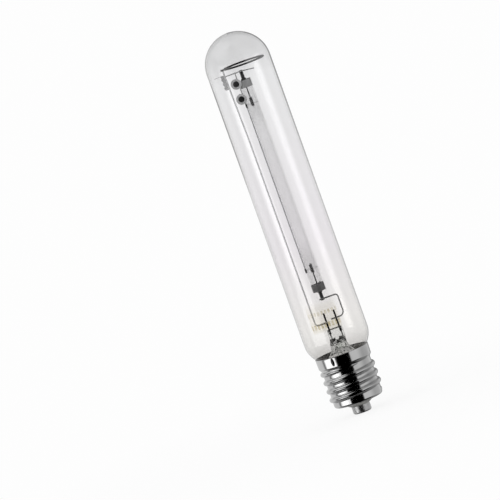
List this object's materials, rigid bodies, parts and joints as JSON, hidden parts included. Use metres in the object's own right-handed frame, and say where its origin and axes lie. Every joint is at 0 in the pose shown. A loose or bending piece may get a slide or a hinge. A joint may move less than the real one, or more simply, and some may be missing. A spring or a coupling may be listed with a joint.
{
  "type": "high pressure sodium lamp",
  "caption": "Tubular discharge lamp: clear bulb with a ceramic arc tube on a wire frame, glass stem and large screw cap.",
  "frame": {"origin": "middle of the centre contact's flat face", "axes": "+Z along the lamp's axis from the contact to the dome, the wire frame on the -X side, getters facing -Y"},
  "size_m": [0.047, 0.047, 0.284],
  "materials": {
    "clear_glass": "clear, polished",
    "stem_glass": "clear, pressed",
    "insulator_glass": "dark moulded glass",
    "plated_brass": "nickel plated, polished",
    "contact_metal": "nickel plated brass",
    "solder": "dull solder",
    "cement": "dry cement",
    "nickel_wire": "drawn wire",
    "lead_wire": "annealed wire",
    "tungsten": "drawn, dark",
    "niobium": "drawn tube",
    "alumina": "translucent, satin",
    "sealing_glass": "dark fused collar",
    "amalgam": "bright bead",
    "spring_steel": "rolled strip",
    "getter_metal": "pressed sheet",
    "getter_powder": "pressed powder"
  },
  "bodies": {
    "root": {"outer_bulb": "clear_glass", "stem_glass": "stem_glass", "exhaust_tube": "stem_glass", "cap_shell": "plated_brass", "cap_insulator": "insulator_glass", "centre_contact": "contact_metal", "contact_solder": "solder", "cap_cement": "cement", "centre_lead": "lead_wire", "side_lead": "lead_wire", "side_solder": "solder", "left_seal_wire": "tungsten", "right_seal_wire": "tungsten", "left_post": "nickel_wire", "right_post": "nickel_wire", "arc_tube": "alumina", "lower_plug": "alumina", "upper_plug": "alumina", "lower_frit": "sealing_glass", "upper_frit": "sealing_glass", "lower_feedthrough": "niobium", "upper_feedthrough": "niobium", "lower_electrode": "tungsten", "upper_electrode": "tungsten", "lower_coil": "tungsten", "upper_coil": "tungsten", "amalgam_bead": "amalgam", "lower_band": "niobium", "upper_band": "niobium", "frame_wire": "nickel_wire", "support_ring": "nickel_wire", "cross_wire": "nickel_wire", "bulb_spring": "spring_steel", "lower_lead": "nickel_wire", "ignition_wire": "nickel_wire", "getter_hanger": "nickel_wire", "upper_getter_cup": "getter_metal", "lower_getter_cup": "getter_metal", "upper_getter_pellet": "getter_powder", "lower_getter_pellet": "getter_powder", "lower_ferrule": "niobium", "upper_ferrule": "niobium", "lower_clip": "nickel_wire", "upper_clip": "nickel_wire"}
  },
  "joints": []
}
